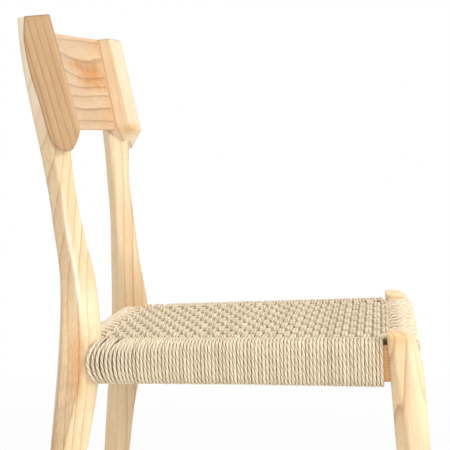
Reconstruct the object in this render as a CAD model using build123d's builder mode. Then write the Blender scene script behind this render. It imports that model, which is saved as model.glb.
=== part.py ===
"""Side chair: rear legs that carry a curved back board, front legs, four seat rails and a woven cord seat.

Millimetres, +Z up, floor at z = 0. The chair faces -Y, and X = 0 is its middle, so +X is the left hand
of someone who sits in it. The origin is on the floor under the middle of the whole chair.
"""
import os
from collections import namedtuple
from math import atan2, ceil, cos, degrees, radians, sin, tan

from build123d import *

os.makedirs("parts", exist_ok=True)

# ---------------------------------------------------------------- seat height and plan
SEAT_HEIGHT = 450.0  # woven surface above the floor, at the front rail
SEAT_FALL = 13.5  # the woven surface is this much lower at the rear rail
BACK_HEIGHT = 850.0  # front top corner of the rear legs
FRONT_LEG_Y = -233.8  # leg axes at rail height
REAR_LEG_Y = 186.5
FRONT_LEG_X = 218.5
REAR_LEG_X = 179.0

# ---------------------------------------------------------------- cord
CORD = 5.0  # diameter of the twisted cord
WEFT_PITCH = 9.6  # a pair of side-to-side cords
WEAVE_THICKNESS = 2 * CORD
SEAM = 6.0  # the woven field reaches this far over the rounded edges of the wound rails
WARP_PAIRS = 13  # pairs of front-to-back cords
WARP_WIDTH = 2 * CORD
WARP_SPREAD_FRONT = 374.0  # first to last pair, at the front rail
WARP_SPREAD_REAR = 300.0  # and at the rear rail

# ---------------------------------------------------------------- seat rails
RAIL_HEIGHT = 46.0
RAIL_THICKNESS = 24.0
RAIL_ROUNDING = 9.0
SIDE_RAIL_DROP = 3.6  # side rails sit this much lower than the front and rear rails
FRONT_RAIL_Y = -235.8
REAR_RAIL_Y = 182.2
RAIL_SET = 4.0  # a side rail's bar starts this far in front of the rear leg's axis, inside the leg
BARE_RAIL = 8.5  # side rail left without cord behind the front leg
WRAP_STOP = 10.8  # the side cord ends this far in front of the rear leg's axis
TENON_THICKNESS = 10.0
TENON_HEIGHT = 30.0
TENON_SHORT = 7.0  # tenons stop this far from the leg's axis, so that two never meet
TENON_ROUNDING = 4.9
MORTISE_GAP = 0.1  # round the tenon
MORTISE_END_GAP = 1.0  # beyond its end

# ---------------------------------------------------------------- front legs
FRONT_FOOT_X = 233.0
FRONT_FOOT_Y = -272.3
FRONT_LEG_WIDTH = 42.0
FRONT_LEG_DEPTH = 42.0
FRONT_FOOT_WIDTH = 31.0
FRONT_FOOT_DEPTH = 32.0
FRONT_LEG_RISE = 9.5  # top of the leg above the woven surface
SHOULDER_DEPTH = 26.0  # rounding of the leg's top, front to back
SHOULDER_DROP = 40.0  # and downwards
KNEE_HEIGHT = 300.0  # full width from here upwards
BROAD_CUT = 18.0  # widest facet across a corner of a front leg
FOOT_CUT = 10.0  # the same facet at the foot
SMALL_CUT = 4.0  # narrowest facet across a corner
NOSE_PROUD = 1.0  # the rounding of the top starts this far in front of the leg

# ---------------------------------------------------------------- rear legs, below the head
REAR_LEG_THICKNESS = 32.5
TIP_WIDTH = 10.0  # flat along the front and rear edges of the leg
SHIN_DROP = 145.0  # below the rails' middle
WAIST_RISE = 60.0  # above the woven surface
BLADE_PLACE = 13 / 24  # of the way from the waist up to the neck
NECK_DROP = 220.0  # below the top of the back
CORE_RISE = 20.0  # above the head's lower front corner
SECTION_SPACING = 60.0  # at most this far from one section of the rear leg to the next

# Middle, front-to-back width, turn of the rear edge outwards in degrees, and place of the ridges along
# the broad faces, from 0 in the middle to 1 at the rear edge.
Station = namedtuple("Station", "x y width turn ridge")
REAR_FOOT = Station(213.0, 229.2, 36.0, 28.0, 0.5)
SHIN = Station(183.0, 203.2, 47.0, 24.0, 0.5)
RAIL_JOINT = Station(REAR_LEG_X, REAR_LEG_Y, 53.6, 18.0, 0.15)
WAIST = Station(166.0, 191.0, 46.0, 17.0, 0.1)
BLADE = Station(181.5, 198.9, 38.0, 17.5, 0.15)
NECK = Station(190.3, 206.0, 35.0, 14.5, 0.0)
CORE = Station(213.0, 214.6, 40.5, 13.0, 0.0)  # inside the head

# ---------------------------------------------------------------- heads of the rear legs
HEAD_X = 223.0  # front outer edge of the head, at the board's lower edge
HEAD_Y = 173.2
HEAD_HEIGHT = 142.0
HEAD_THICKNESS = 44.0
HEAD_LEAN = 37.5  # the front edge moves back by this over the head's height
HEAD_SPLAY = 4.5  # and outwards by this
HEAD_FOOT_DEPTH = 56.0
HEAD_TOP_DEPTH = 39.0
HEAD_TOP_FALL = 3.4  # the top slopes down to the rear
CORNER_DROP = 4.0  # the front edge runs on this far below the board
HEAD_CHIN = 29.0  # and the rounded chin hangs this far below the board
CHIN_FRONT = 14.0  # from the front edge to the chin
CHIN_REAR = 31.0
HEAD_TURN = 13.0  # the head faces the middle of the chair by this angle
CHIN_ROUNDING = 8.0
HEAD_ROUNDING = 3.0  # front edges
REAR_ROUNDING = 9.0  # rear edges
LONG_EDGE = 0.85  # an edge longer than this share of the head's height is one of its upright edges

# ---------------------------------------------------------------- back board
BOARD_THICKNESS = 13.7
BOARD_EDGE = 2.5  # rounding of the board's upper and lower edges
BOARD_SAGITTA = 28.9  # how far the middle lies behind the ends
BOARD_SETBACK = 35.4  # ends of the front face behind the head's front outer edge, at the top
BOARD_SETBACK_FOOT = 38.9  # and at the bottom
HOUSING = 5.0  # the board's ends sit this deep in the heads
DOWEL_DIAMETER = 6.0
DOWEL_LENGTH = 26.0
DOWEL_IN_HEAD = 11.0  # beyond the housing
DOWEL_EDGE = 34.0  # from the board's upper and lower edges
DOWEL_GAP = 0.1  # round a dowel
DOWEL_END_GAP = 1.0  # beyond each end of a dowel
TRIM_MARGIN = 3.0  # shapes that only trim the board are this many times as large as they need to be

# ---------------------------------------------------------------- nails and glides
NAIL_DIAMETER = 1.8
NAIL_DEPTH = 12.0  # in the rail
NAIL_REACH = 3.0  # out of the rail, to the bend
NAIL_HOOK = 9.0  # the bent end, upwards
NAIL_BEND = 1.6
NAIL_GAP = 0.3  # between a nail and the cord over it
GLIDE_DIAMETER = 24.0
GLIDE_THICKNESS = 3.0
GLIDE_EDGE = 1.0
GLIDE_PIN_DIAMETER = 3.0
GLIDE_PIN_LENGTH = 15.0
PIN_GAP = 0.1  # round the pin
PIN_END_GAP = 1.0  # beyond its end

# ---------------------------------------------------------------- places that follow from the sizes
SIDE_DIRECTION = atan2(FRONT_LEG_X - REAR_LEG_X, REAR_LEG_Y - FRONT_LEG_Y)
FRONT_RAIL_Z = SEAT_HEIGHT - CORD - RAIL_HEIGHT / 2
REAR_RAIL_Z = FRONT_RAIL_Z - SEAT_FALL
RAIL_MIDDLE_Z = (FRONT_RAIL_Z + REAR_RAIL_Z) / 2
WRAP_THICKNESS = RAIL_THICKNESS + 2 * CORD
WRAP_HEIGHT = RAIL_HEIGHT + 2 * CORD
WRAP_ROUNDING = RAIL_ROUNDING + CORD
FRONT_LEG_TOP = SEAT_HEIGHT + FRONT_LEG_RISE
HEAD_ANGLE = radians(HEAD_TURN)

Section = namedtuple("Section", "x y z sizes")


def export(part, name):
    """Label a finished piece and write it to its own file."""
    part.label = name
    export_step(part, f"parts/{name}.step")


def mirrored(part):
    """The same piece for the -X side."""
    return mirror(part, about=Plane.YZ)


# ---------------------------------------------------------------- front leg, before its mortises
def front_leg_at(z):
    """Axis of a front leg at a height: straight, leaning forwards and outwards to the foot."""
    share = (FRONT_RAIL_Z - z) / FRONT_RAIL_Z
    return (
        FRONT_LEG_X + (FRONT_FOOT_X - FRONT_LEG_X) * share,
        FRONT_LEG_Y + (FRONT_FOOT_Y - FRONT_LEG_Y) * share,
    )


def front_section(section):
    """Outline of a front leg: a rectangle whose four corners are cut by facets of different widths."""
    width, depth, front_outer, rear_outer, rear_inner, front_inner = section.sizes
    left, right = section.x - width / 2, section.x + width / 2
    front, rear = section.y - depth / 2, section.y + depth / 2
    with BuildSketch(Plane.XY.offset(section.z)) as sketch:
        with BuildLine():
            Polyline(
                (right - front_outer, front),
                (right, front + front_outer),
                (right, rear - rear_outer),
                (right - rear_outer, rear),
                (left + rear_inner, rear),
                (left, rear - rear_inner),
                (left, front + front_inner),
                (left + front_inner, front),
                close=True,
            )
        make_face()
    return sketch.sketch


foot_cuts = (SMALL_CUT, FOOT_CUT, SMALL_CUT, FOOT_CUT)
knee_cuts = (SMALL_CUT, BROAD_CUT, SMALL_CUT, FOOT_CUT)
top_cuts = (BROAD_CUT, SMALL_CUT, SMALL_CUT, SMALL_CUT)
front_sections = []
for z, width, depth, cuts in (
    (GLIDE_THICKNESS, FRONT_FOOT_WIDTH, FRONT_FOOT_DEPTH, foot_cuts),
    (KNEE_HEIGHT, FRONT_LEG_WIDTH, FRONT_LEG_DEPTH, knee_cuts),
    (FRONT_LEG_TOP, FRONT_LEG_WIDTH, FRONT_LEG_DEPTH, top_cuts),
):
    front_sections.append(Section(*front_leg_at(z), z, (width, depth, *cuts)))

with BuildPart() as front_leg_blank:
    loft([front_section(section) for section in front_sections[:2]], ruled=True)
    loft([front_section(section) for section in front_sections[1:]], ruled=True)
    nose_y = front_leg_at(FRONT_LEG_TOP)[1] - FRONT_LEG_DEPTH / 2 - NOSE_PROUD
    shoulder_z = FRONT_LEG_TOP - SHOULDER_DROP
    with BuildSketch(Plane.YZ) as shoulder:
        with BuildLine():
            EllipticalCenterArc(
                (nose_y + SHOULDER_DEPTH, shoulder_z), SHOULDER_DEPTH, SHOULDER_DROP, start_angle=90, arc_size=90
            )
            Polyline(
                (nose_y, shoulder_z),
                (nose_y - SHOULDER_DEPTH, shoulder_z),
                (nose_y - SHOULDER_DEPTH, FRONT_LEG_TOP),
                (nose_y + SHOULDER_DEPTH, FRONT_LEG_TOP),
            )
        make_face()
    extrude(amount=FRONT_LEG_X + FRONT_LEG_WIDTH, mode=Mode.SUBTRACT)


# ---------------------------------------------------------------- rear leg, before its mortises
def rear_section(z, station):
    """Outline of a rear leg: a long six-sided shape, turned so that its rear end points outwards."""
    half = station.width / 2
    tip = min(TIP_WIDTH, half) / 2
    side = REAR_LEG_THICKNESS / 2
    ridge = station.ridge * half
    turn = radians(station.turn)
    along = Vector(sin(turn), cos(turn))
    across = Vector(cos(turn), -sin(turn))
    middle = Vector(station.x, station.y)
    corners = [(half, tip), (ridge, side), (-half, tip), (-half, -tip), (ridge, -side), (half, -tip)]
    points = [middle + along * a + across * b for a, b in corners]
    with BuildSketch(Plane.XY.offset(z)) as sketch:
        with BuildLine():
            Polyline(*[(point.X, point.Y) for point in points], close=True)
        make_face()
    return sketch.sketch


rear_stations = [REAR_FOOT, SHIN, RAIL_JOINT, WAIST, BLADE, NECK, CORE]
waist_z = SEAT_HEIGHT + WAIST_RISE
neck_z = BACK_HEIGHT - NECK_DROP
station_heights = [
    GLIDE_THICKNESS,
    RAIL_MIDDLE_Z - SHIN_DROP,
    RAIL_MIDDLE_Z,
    waist_z,
    waist_z + (neck_z - waist_z) * BLADE_PLACE,
    neck_z,
    BACK_HEIGHT - HEAD_HEIGHT + CORE_RISE,
]


def slope_at(index, field):
    """How fast one value of the rear leg changes with height at a station, from its neighbours."""
    below = max(index - 1, 0)
    above = min(index + 1, len(rear_stations) - 1)
    change = rear_stations[above][field] - rear_stations[below][field]
    return change / (station_heights[above] - station_heights[below])


def rear_leg_at(z):
    """Section of a rear leg at a height, on one smooth curve through all the stations."""
    index = max(i for i, height in enumerate(station_heights[:-1]) if height <= z)
    low, high = rear_stations[index], rear_stations[index + 1]
    rise = station_heights[index + 1] - station_heights[index]
    t = (z - station_heights[index]) / rise
    values = []
    for field in range(len(low)):
        value = low[field] * (2 * t**3 - 3 * t**2 + 1) + high[field] * (3 * t**2 - 2 * t**3)
        value += slope_at(index, field) * rise * (t**3 - 2 * t**2 + t)
        value += slope_at(index + 1, field) * rise * (t**3 - t**2)
        values.append(value)
    return Station(*values)


lowest_z, highest_z = station_heights[0], station_heights[-1]
steps = ceil((highest_z - lowest_z) / SECTION_SPACING)
rear_heights = [lowest_z + (highest_z - lowest_z) * step / steps for step in range(steps + 1)]

head_plane = Plane(
    origin=(HEAD_X, HEAD_Y, BACK_HEIGHT - HEAD_HEIGHT),
    x_dir=(sin(HEAD_ANGLE), cos(HEAD_ANGLE), 0),
    z_dir=(cos(HEAD_ANGLE), -sin(HEAD_ANGLE), -HEAD_SPLAY / HEAD_HEIGHT),
)


def upright_edges(solid):
    """The head's upright edges, those at the front first."""
    return solid.edges().filter_by(lambda edge: edge.length > HEAD_HEIGHT * LONG_EDGE).sort_by(Axis.Y)


with BuildPart() as head:
    with BuildSketch(head_plane) as paddle:
        with BuildLine():
            Polyline(
                (-CORNER_DROP * HEAD_LEAN / HEAD_HEIGHT, -CORNER_DROP),
                (CHIN_FRONT, -HEAD_CHIN),
                (CHIN_REAR, -HEAD_CHIN),
                (HEAD_FOOT_DEPTH, 0),
                (HEAD_LEAN + HEAD_TOP_DEPTH, HEAD_HEIGHT - HEAD_TOP_FALL),
                (HEAD_LEAN, HEAD_HEIGHT),
                close=True,
            )
        make_face()
        fillet(paddle.vertices().sort_by(Axis.Y)[:3], CHIN_ROUNDING)
    extrude(amount=-HEAD_THICKNESS)
    fillet(upright_edges(head)[-2:], REAR_ROUNDING)
    fillet(upright_edges(head)[:2], HEAD_ROUNDING)

with BuildPart() as rear_leg_blank:
    loft([rear_section(z, rear_leg_at(z)) for z in rear_heights])
    add(head.part)


# ---------------------------------------------------------------- where the rails run
side_front = Vector(FRONT_LEG_X, FRONT_LEG_Y, FRONT_RAIL_Z - SIDE_RAIL_DROP)
side_rear = Vector(REAR_LEG_X, REAR_LEG_Y, REAR_RAIL_Z - SIDE_RAIL_DROP)
side_run = side_front - side_rear
SIDE_LENGTH = side_run.length
side_plane = Plane(origin=side_rear, x_dir=(cos(SIDE_DIRECTION), sin(SIDE_DIRECTION), 0), z_dir=side_run)
front_plane = Plane(origin=(0, FRONT_RAIL_Y, FRONT_RAIL_Z), x_dir=(0, 1, 0), z_dir=(1, 0, 0))
rear_plane = Plane(origin=(0, REAR_RAIL_Y, REAR_RAIL_Z), x_dir=(0, 1, 0), z_dir=(1, 0, 0))
SIDE_TENON = SIDE_LENGTH - 2 * TENON_SHORT
FRONT_TENON = 2 * (FRONT_LEG_X - TENON_SHORT)
REAR_TENON = 2 * (REAR_LEG_X - TENON_SHORT)


def rounded_bar(plane, length, width, height, rounding, gap=0.0, end_gap=0.0):
    """A bar with rounded long edges that starts on a plane; the gaps make the hollow that takes it."""
    with BuildPart() as bar:
        with BuildSketch(plane.offset(-end_gap)):
            RectangleRounded(width + 2 * gap, height + 2 * gap, rounding + gap)
        extrude(amount=length + 2 * end_gap)
    return bar.part


def tenon(plane, length):
    """The tongues at both ends of a rail, as one bar through the rail."""
    return rounded_bar(plane, length, TENON_THICKNESS, TENON_HEIGHT, TENON_ROUNDING)


def mortise(plane, length):
    """The hollow for both tongues of a rail."""
    return rounded_bar(
        plane, length, TENON_THICKNESS, TENON_HEIGHT, TENON_ROUNDING, gap=MORTISE_GAP, end_gap=MORTISE_END_GAP
    )


side_tenon_plane = side_plane.offset(TENON_SHORT)
front_tenon_plane = front_plane.offset(-FRONT_TENON / 2)
rear_tenon_plane = rear_plane.offset(-REAR_TENON / 2)
side_mortise = mortise(side_tenon_plane, SIDE_TENON)

# ---------------------------------------------------------------- seat rails
with BuildPart() as seat_rail_left:
    bar_plane = side_plane.offset(RAIL_SET)
    add(rounded_bar(bar_plane, SIDE_LENGTH - RAIL_SET, RAIL_THICKNESS, RAIL_HEIGHT, RAIL_ROUNDING))
    add(front_leg_blank.part, mode=Mode.SUBTRACT)
    add(rear_leg_blank.part, mode=Mode.SUBTRACT)
    add(tenon(side_tenon_plane, SIDE_TENON))

with BuildPart() as seat_rail_front:
    bar_plane = front_plane.offset(-FRONT_LEG_X)
    add(rounded_bar(bar_plane, 2 * FRONT_LEG_X, RAIL_THICKNESS, RAIL_HEIGHT, RAIL_ROUNDING))
    add(front_leg_blank.part, mode=Mode.SUBTRACT)
    add(mirrored(front_leg_blank.part), mode=Mode.SUBTRACT)
    add(tenon(front_tenon_plane, FRONT_TENON))

with BuildPart() as seat_rail_rear:
    bar_plane = rear_plane.offset(-REAR_LEG_X)
    add(rounded_bar(bar_plane, 2 * REAR_LEG_X, RAIL_THICKNESS, RAIL_HEIGHT, RAIL_ROUNDING))
    add(rear_leg_blank.part, mode=Mode.SUBTRACT)
    add(mirrored(rear_leg_blank.part), mode=Mode.SUBTRACT)
    add(tenon(rear_tenon_plane, REAR_TENON))

# ---------------------------------------------------------------- back board and its dowels
board_foot = Vector(0, HEAD_Y + BOARD_SETBACK_FOOT, BACK_HEIGHT - HEAD_HEIGHT)
board_top = Vector(0, HEAD_Y + HEAD_LEAN + BOARD_SETBACK, BACK_HEIGHT)
board_rise = board_top - board_foot
housing_plane = head_plane.offset(HOUSING - HEAD_THICKNESS)
HALF_CHORD = HEAD_X - HEAD_THICKNESS * cos(HEAD_ANGLE)
BOARD_RADIUS = (HALF_CHORD**2 + BOARD_SAGITTA**2) / (2 * BOARD_SAGITTA)
board_centre = (0, BOARD_SAGITTA - BOARD_RADIUS)

with BuildPart() as beyond_housing:
    with BuildSketch(housing_plane):
        Rectangle(TRIM_MARGIN * HEAD_HEIGHT, TRIM_MARGIN * HEAD_HEIGHT)
    extrude(amount=HEAD_X)

with BuildPart() as back_board:
    with BuildSketch(Plane(origin=board_foot)):
        with Locations(board_centre):
            Circle(BOARD_RADIUS + BOARD_THICKNESS)
            Circle(BOARD_RADIUS, mode=Mode.SUBTRACT)
        with Locations((0, BOARD_SAGITTA)):
            Rectangle(TRIM_MARGIN * HALF_CHORD, HALF_CHORD, mode=Mode.INTERSECT)
    extrude(amount=board_rise.length, dir=board_rise)
    level_faces = back_board.faces().filter_by(Plane.XY)
    fillet(level_faces.edges().filter_by(GeomType.CIRCLE), BOARD_EDGE)
    add(beyond_housing.part, mode=Mode.SUBTRACT)
    add(mirrored(beyond_housing.part), mode=Mode.SUBTRACT)


def dowels(radius, end_gap=0.0):
    """The two dowels at the +X end of the board, or with a gap the holes for them."""
    with BuildPart() as pair:
        for share in (DOWEL_EDGE / HEAD_HEIGHT, 1 - DOWEL_EDGE / HEAD_HEIGHT):
            with BuildLine(Plane(origin=board_foot + board_rise * share)) as middle_line:
                CenterArc(board_centre, BOARD_RADIUS + BOARD_THICKNESS / 2, 0, 90)
            crossing = middle_line.line.intersect(housing_plane).vertices()[0]
            dowel_plane = Plane(origin=crossing.center(), z_dir=housing_plane.z_dir)
            with BuildSketch(dowel_plane.offset(DOWEL_IN_HEAD + end_gap)):
                Circle(radius)
            extrude(amount=-DOWEL_LENGTH - 2 * end_gap)
    return pair.part


dowel_holes = dowels(DOWEL_DIAMETER / 2 + DOWEL_GAP, end_gap=DOWEL_END_GAP)
with BuildPart() as back_board_dowels:
    add(dowels(DOWEL_DIAMETER / 2))
    mirror(about=Plane.YZ)

with BuildPart() as board_with_holes:
    add(back_board.part)
    add(dowel_holes, mode=Mode.SUBTRACT)
    add(mirrored(dowel_holes), mode=Mode.SUBTRACT)

# ---------------------------------------------------------------- legs
def glide_hole(x, y):
    """The hole in a foot for the pin of its glide."""
    with BuildPart() as hole:
        with BuildSketch(Plane.XY.offset(GLIDE_THICKNESS)):
            with Locations((x, y)):
                Circle(GLIDE_PIN_DIAMETER / 2 + PIN_GAP)
        extrude(amount=GLIDE_PIN_LENGTH + PIN_END_GAP)
    return hole.part


front_foot = front_leg_at(GLIDE_THICKNESS)
rear_foot = (REAR_FOOT.x, REAR_FOOT.y)

with BuildPart() as front_leg_left:
    add(front_leg_blank.part)
    add(side_mortise, mode=Mode.SUBTRACT)
    add(mortise(front_tenon_plane, FRONT_TENON), mode=Mode.SUBTRACT)
    add(glide_hole(*front_foot), mode=Mode.SUBTRACT)

with BuildPart() as rear_leg_left:
    add(rear_leg_blank.part)
    add(side_mortise, mode=Mode.SUBTRACT)
    add(mortise(rear_tenon_plane, REAR_TENON), mode=Mode.SUBTRACT)
    add(back_board.part, mode=Mode.SUBTRACT)
    add(dowel_holes, mode=Mode.SUBTRACT)
    add(glide_hole(*rear_foot), mode=Mode.SUBTRACT)

# ---------------------------------------------------------------- glides
with BuildPart() as foot_glides:
    with BuildSketch(Plane.XY):
        with Locations(front_foot, rear_foot):
            Circle(GLIDE_DIAMETER / 2)
    extrude(amount=GLIDE_THICKNESS)
    fillet(foot_glides.faces().filter_by(Plane.XY).sort_by(Axis.Z)[:2].edges(), GLIDE_EDGE)
    with BuildSketch(Plane.XY.offset(GLIDE_THICKNESS)):
        with Locations(front_foot, rear_foot):
            Circle(GLIDE_PIN_DIAMETER / 2)
    extrude(amount=GLIDE_PIN_LENGTH)
    mirror(about=Plane.YZ)

# ---------------------------------------------------------------- cord round the rails
SIDE_WRAP = SIDE_LENGTH - FRONT_LEG_DEPTH / 2 - BARE_RAIL - WRAP_STOP
SIDE_WRAP_HEIGHT = WRAP_HEIGHT + SIDE_RAIL_DROP
side_wrap_plane = Plane(
    origin=side_plane.from_local_coords((0, SIDE_RAIL_DROP / 2, WRAP_STOP)),
    x_dir=side_plane.x_dir,
    z_dir=side_plane.z_dir,
)
GROOVE_DEPTH = NAIL_REACH + NAIL_DIAMETER / 2 + NAIL_GAP
GROOVE_HEIGHT = NAIL_HOOK + NAIL_DIAMETER + 2 * NAIL_GAP
GROOVE_RISE = (NAIL_HOOK - NAIL_DIAMETER / 2) / 2


def wrap_envelope(plane, length, height=WRAP_HEIGHT):
    """Outside of the cord that is wound round a rail."""
    return rounded_bar(plane, length, WRAP_THICKNESS, height, WRAP_ROUNDING)


def nail_groove(plane, length, inward):
    """Room under the cord for a row of nails; inward is -1 or 1 along the plane's own x."""
    middle = inward * (RAIL_THICKNESS + GROOVE_DEPTH) / 2
    with BuildPart() as groove:
        with BuildSketch(plane):
            with Locations((middle, GROOVE_RISE)):
                Rectangle(GROOVE_DEPTH, GROOVE_HEIGHT)
        extrude(amount=length)
    return groove.part


FRONT_WRAP = 2 * FRONT_LEG_X - FRONT_LEG_WIDTH + 2 * SMALL_CUT
front_envelope = wrap_envelope(front_plane.offset(-FRONT_WRAP / 2), FRONT_WRAP)
rear_envelope = wrap_envelope(rear_plane.offset(-REAR_LEG_X), 2 * REAR_LEG_X)
side_envelope = wrap_envelope(side_wrap_plane, SIDE_WRAP, SIDE_WRAP_HEIGHT)
side_bar = rounded_bar(side_plane, SIDE_LENGTH, RAIL_THICKNESS, RAIL_HEIGHT, RAIL_ROUNDING)

with BuildPart() as cord_wrap_left:
    add(side_envelope)
    add(side_bar, mode=Mode.SUBTRACT)
    add(nail_groove(side_plane, SIDE_LENGTH, -1), mode=Mode.SUBTRACT)
    add(seat_rail_rear.part, mode=Mode.SUBTRACT)
    add(rear_leg_blank.part, mode=Mode.SUBTRACT)

with BuildPart() as cord_wrap_front:
    add(front_envelope)
    add(seat_rail_front.part, mode=Mode.SUBTRACT)
    add(nail_groove(front_plane.offset(-FRONT_LEG_X), 2 * FRONT_LEG_X, 1), mode=Mode.SUBTRACT)
    add(front_leg_blank.part, mode=Mode.SUBTRACT)
    add(mirrored(front_leg_blank.part), mode=Mode.SUBTRACT)

with BuildPart() as cord_wrap_rear:
    add(rear_envelope)
    add(seat_rail_rear.part, mode=Mode.SUBTRACT)
    add(nail_groove(rear_plane.offset(-REAR_LEG_X), 2 * REAR_LEG_X, -1), mode=Mode.SUBTRACT)
    for leg in (rear_leg_blank.part, mirrored(rear_leg_blank.part)):
        add(leg, mode=Mode.SUBTRACT)
    for wrap in (side_envelope, mirrored(side_envelope)):
        add(wrap, mode=Mode.SUBTRACT)

# ---------------------------------------------------------------- woven seat
seat_plane = Plane(
    origin=(0, FRONT_RAIL_Y, SEAT_HEIGHT), x_dir=(1, 0, 0), z_dir=(0, SEAT_FALL, REAR_RAIL_Y - FRONT_RAIL_Y)
)
SEAT_START = WRAP_THICKNESS / 2 - SEAM
SEAT_END = REAR_RAIL_Y - FRONT_RAIL_Y - WRAP_THICKNESS / 2 + SEAM


def seat_half_width(distance):
    """Half the width of the woven field, this far behind the front rail's middle."""
    return FRONT_LEG_X - tan(SIDE_DIRECTION) * distance - WRAP_THICKNESS / 2 + SEAM


def warp_positions(spread):
    """Middles of the front-to-back pairs of cords along a rail."""
    return [spread * (pair / (WARP_PAIRS - 1) - 0.5) for pair in range(WARP_PAIRS)]


with BuildPart() as seat_warp:
    with BuildSketch(seat_plane.offset((CORD - WEAVE_THICKNESS) / 2)):
        for front_x, rear_x in zip(warp_positions(WARP_SPREAD_FRONT), warp_positions(WARP_SPREAD_REAR)):
            with BuildLine():
                Polyline(
                    (front_x - WARP_WIDTH / 2, SEAT_START),
                    (front_x + WARP_WIDTH / 2, SEAT_START),
                    (rear_x + WARP_WIDTH / 2, SEAT_END),
                    (rear_x - WARP_WIDTH / 2, SEAT_END),
                    close=True,
                )
            make_face()
    extrude(amount=-CORD)
    for neighbour in (front_envelope, rear_envelope, rear_leg_blank.part, mirrored(rear_leg_blank.part)):
        add(neighbour, mode=Mode.SUBTRACT)

with BuildPart() as seat_weft:
    with BuildSketch(seat_plane):
        with BuildLine():
            Polyline(
                (-seat_half_width(SEAT_START), SEAT_START),
                (seat_half_width(SEAT_START), SEAT_START),
                (seat_half_width(SEAT_END), SEAT_END),
                (-seat_half_width(SEAT_END), SEAT_END),
                close=True,
            )
        make_face()
    extrude(amount=-WEAVE_THICKNESS)
    for neighbour in (front_envelope, rear_envelope, seat_warp.part):
        add(neighbour, mode=Mode.SUBTRACT)
    for neighbour in (side_envelope, side_bar, front_leg_blank.part, rear_leg_blank.part):
        add(neighbour, mode=Mode.SUBTRACT)
        add(mirrored(neighbour), mode=Mode.SUBTRACT)

# ---------------------------------------------------------------- nails that hold the cord
with BuildPart() as nail:
    with BuildLine() as nail_line:
        FilletPolyline((0, -NAIL_DEPTH, 0), (0, NAIL_REACH, 0), (0, NAIL_REACH, NAIL_HOOK), radius=NAIL_BEND)
    with BuildSketch(Plane(origin=nail_line.line @ 0, z_dir=nail_line.line % 0)):
        Circle(NAIL_DIAMETER / 2)
    sweep()


def nail_row(places):
    """Equal nails at the given locations; a nail points along its own +Y and hooks upwards."""
    with BuildPart() as row:
        with Locations(*places):
            add(nail.part)
    return row.part


side_nail_count = int((SIDE_WRAP - RAIL_JOINT.width / 2 - 2 * WEFT_PITCH) / WEFT_PITCH)
side_inward = 90 + degrees(SIDE_DIRECTION)
side_nail_places = []
for number in range(side_nail_count):
    distance = WRAP_STOP + SIDE_WRAP - WEFT_PITCH * (number + 1)
    foot = side_plane.from_local_coords((-RAIL_THICKNESS / 2, 0, distance))
    side_nail_places.append(Location(foot, (0, 0, side_inward)))
front_nail_places = [
    Location((x, FRONT_RAIL_Y + RAIL_THICKNESS / 2, FRONT_RAIL_Z)) for x in warp_positions(WARP_SPREAD_FRONT)
]
rear_nail_places = [
    Location((x, REAR_RAIL_Y - RAIL_THICKNESS / 2, REAR_RAIL_Z), (0, 0, 180))
    for x in warp_positions(WARP_SPREAD_REAR)
]
side_nails = nail_row(side_nail_places)
front_nails = nail_row(front_nail_places)
rear_nails = nail_row(rear_nail_places)


def drilled(rail, nails):
    """A rail with the holes that its nails were driven into."""
    with BuildPart() as result:
        add(rail)
        add(nails, mode=Mode.SUBTRACT)
    return result.part


rail_left = drilled(seat_rail_left.part, side_nails)

export(front_leg_left.part, "front_leg_left")
export(mirrored(front_leg_left.part), "front_leg_right")
export(rear_leg_left.part, "rear_leg_left")
export(mirrored(rear_leg_left.part), "rear_leg_right")
export(drilled(seat_rail_front.part, front_nails), "seat_rail_front")
export(drilled(seat_rail_rear.part, rear_nails), "seat_rail_rear")
export(rail_left, "seat_rail_left")
export(mirrored(rail_left), "seat_rail_right")
export(board_with_holes.part, "back_board")
export(back_board_dowels.part, "back_board_dowels")
export(foot_glides.part, "foot_glides")
export(seat_warp.part, "seat_warp")
export(seat_weft.part, "seat_weft")
export(cord_wrap_left.part, "cord_wrap_left")
export(mirrored(cord_wrap_left.part), "cord_wrap_right")
export(cord_wrap_front.part, "cord_wrap_front")
export(cord_wrap_rear.part, "cord_wrap_rear")
export(side_nails, "cord_nails_left")
export(mirrored(side_nails), "cord_nails_right")
export(front_nails, "cord_nails_front")
export(rear_nails, "cord_nails_rear")
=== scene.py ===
"""Looks of a wooden side chair with a curved back board and a seat woven from twisted paper cord.

Metres, +Z up, the chair faces -Y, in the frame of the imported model. Every shape below is a surface
worked out with numpy: sections carried along a leg, or a twisted cord carried along its path.
"""

import bpy
import numpy as np
from mathutils import Matrix, Vector


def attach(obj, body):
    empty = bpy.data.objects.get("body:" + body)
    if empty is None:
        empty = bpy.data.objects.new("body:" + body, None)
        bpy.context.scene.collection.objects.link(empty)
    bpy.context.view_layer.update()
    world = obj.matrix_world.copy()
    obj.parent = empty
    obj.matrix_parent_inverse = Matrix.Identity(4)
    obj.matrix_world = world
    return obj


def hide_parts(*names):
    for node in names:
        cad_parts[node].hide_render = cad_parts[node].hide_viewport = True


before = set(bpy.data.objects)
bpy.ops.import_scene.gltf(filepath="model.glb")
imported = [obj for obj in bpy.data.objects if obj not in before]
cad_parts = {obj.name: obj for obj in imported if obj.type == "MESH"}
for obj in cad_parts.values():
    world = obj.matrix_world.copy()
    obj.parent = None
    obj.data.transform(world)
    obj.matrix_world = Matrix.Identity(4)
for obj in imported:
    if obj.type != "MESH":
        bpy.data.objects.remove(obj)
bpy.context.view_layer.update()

MM = 0.001
rng = np.random.default_rng(7)

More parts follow.
